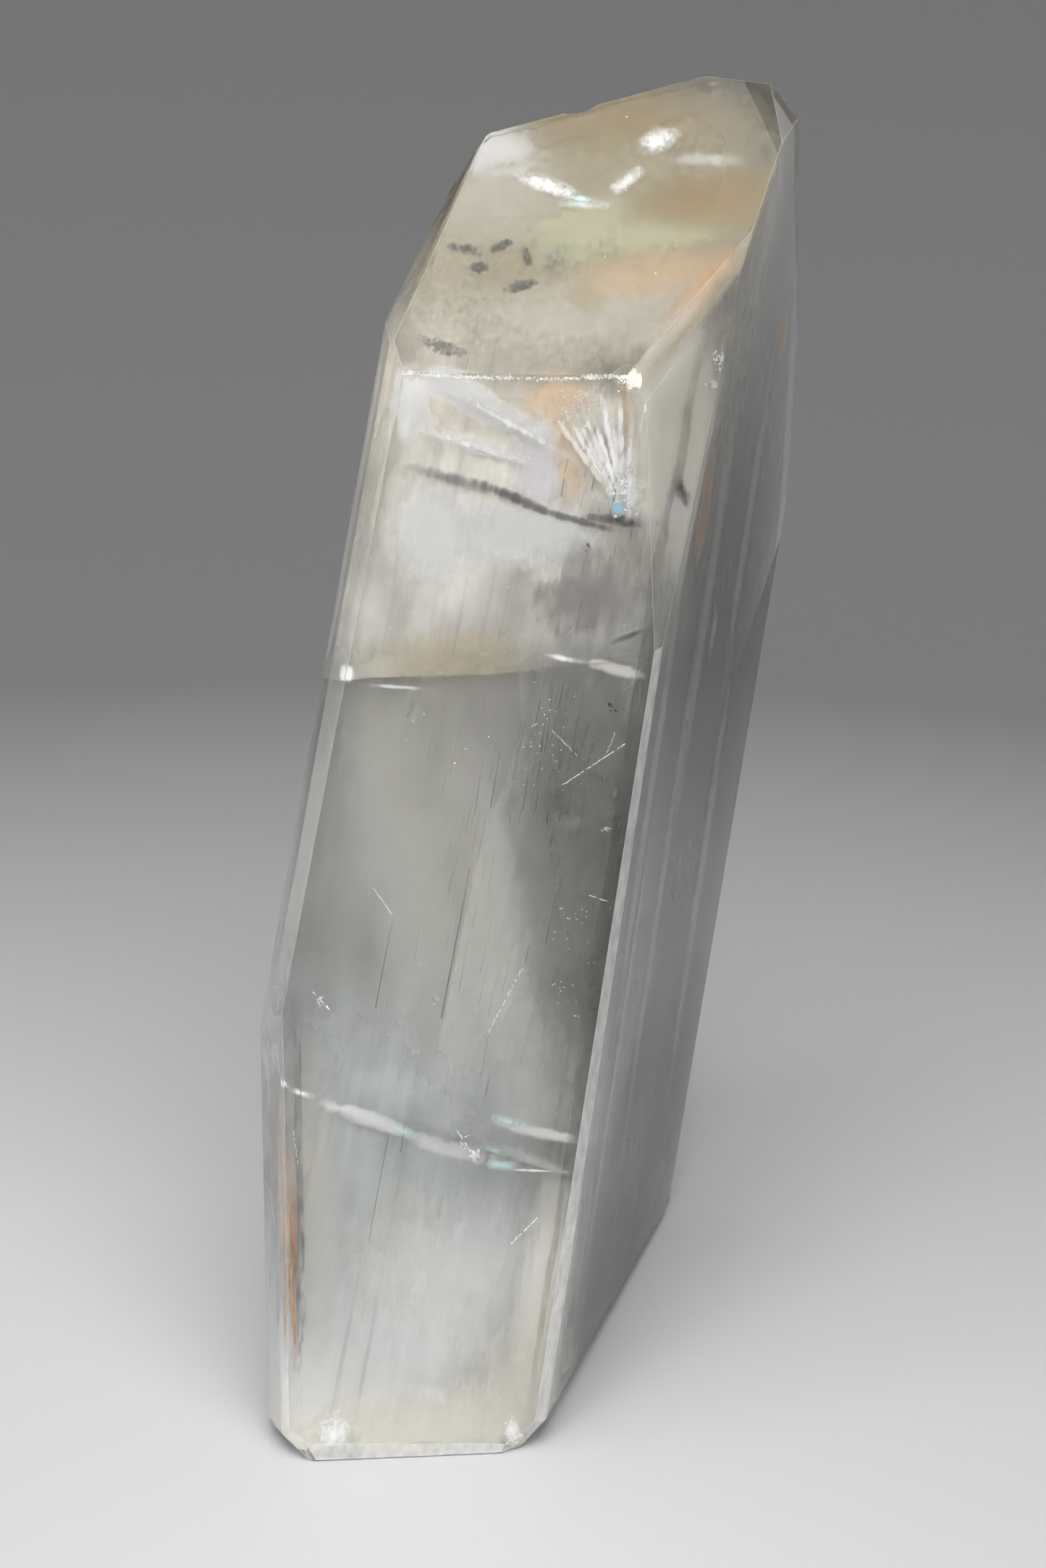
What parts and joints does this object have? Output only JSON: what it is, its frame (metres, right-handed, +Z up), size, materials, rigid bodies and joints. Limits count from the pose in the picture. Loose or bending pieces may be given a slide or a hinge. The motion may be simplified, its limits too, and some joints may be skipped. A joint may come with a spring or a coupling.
{
  "type": "optical calcite freeform",
  "caption": "Clear, pale honey calcite crystal ground and polished into a tall leaning freeform with flat faces, bevelled edges and a sawn base to stand on.",
  "frame": {"origin": "middle of the outline seen from above, on the surface the crystal stands on", "axes": "+Z up the crystal's height, -Y towards the broad front face, +X to the right seen from the front"},
  "size_m": [0.0856, 0.1322, 0.1853],
  "materials": {
    "calcite": "polished",
    "veil": "milky fracture veil",
    "inclusion": "dull mineral specks and rust"
  },
  "bodies": {
    "root": {"calcite": "calcite"}
  },
  "joints": []
}
